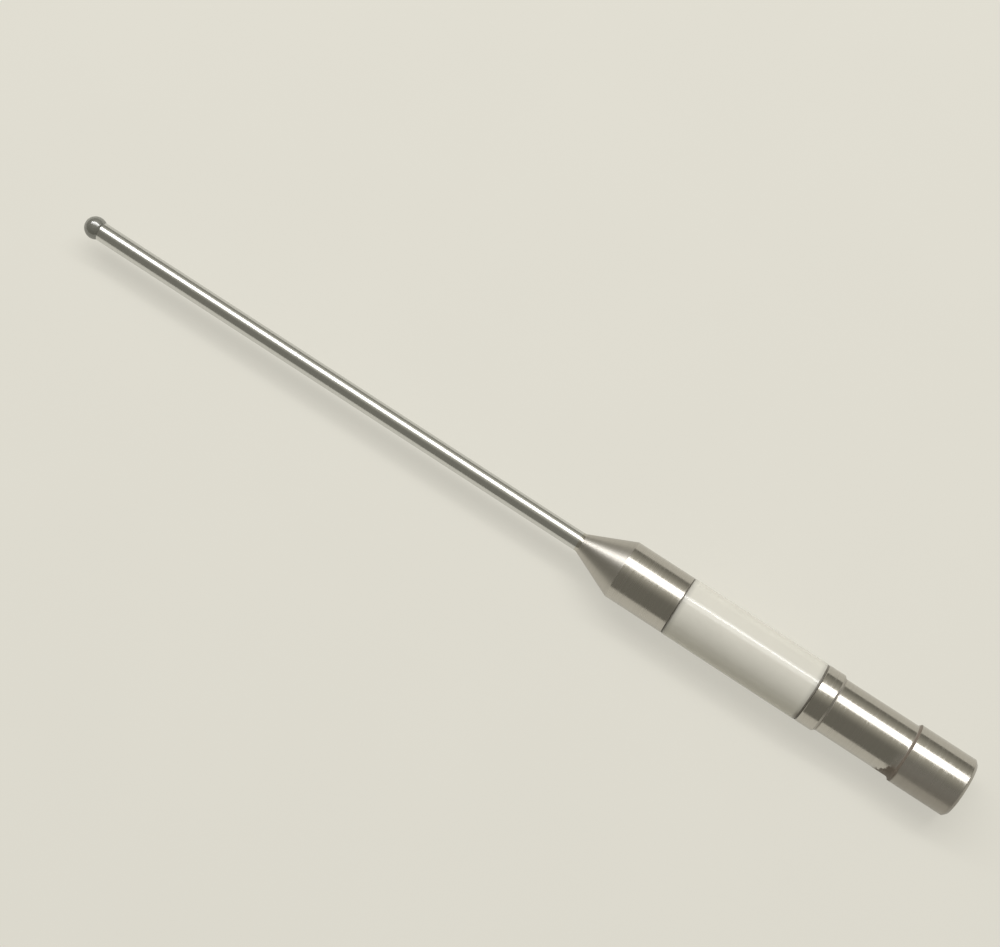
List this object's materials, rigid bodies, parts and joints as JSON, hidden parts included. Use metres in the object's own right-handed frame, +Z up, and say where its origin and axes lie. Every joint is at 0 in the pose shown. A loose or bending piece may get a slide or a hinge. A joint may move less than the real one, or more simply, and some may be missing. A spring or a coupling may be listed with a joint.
{
  "type": "ball stylus",
  "caption": "Long ball stylus: a small ball on a slim ground rod, a coned steel holder, a white insulating ceramic sleeve and a turned cylindrical shank with two lands.",
  "frame": {"origin": "centre of the shank's flat end face", "axes": "+X along the stylus from the shank's end face towards the ball, +Z up as it lies; the body is round about X"},
  "size_m": [0.1312, 0.008, 0.008],
  "materials": {
    "ball": "polished",
    "stem": "ground",
    "holder": "turned",
    "sleeve": "ground, slightly glossy",
    "shank": "turned",
    "glue": "matt",
    "braze": "satin"
  },
  "bodies": {
    "root": {"ball": "ball", "ball_glue": "glue", "stem": "stem", "stem_braze": "braze", "stem_holder": "holder", "front_glue": "glue", "ceramic_sleeve": "sleeve", "rear_glue": "glue", "shank": "shank"}
  },
  "joints": []
}
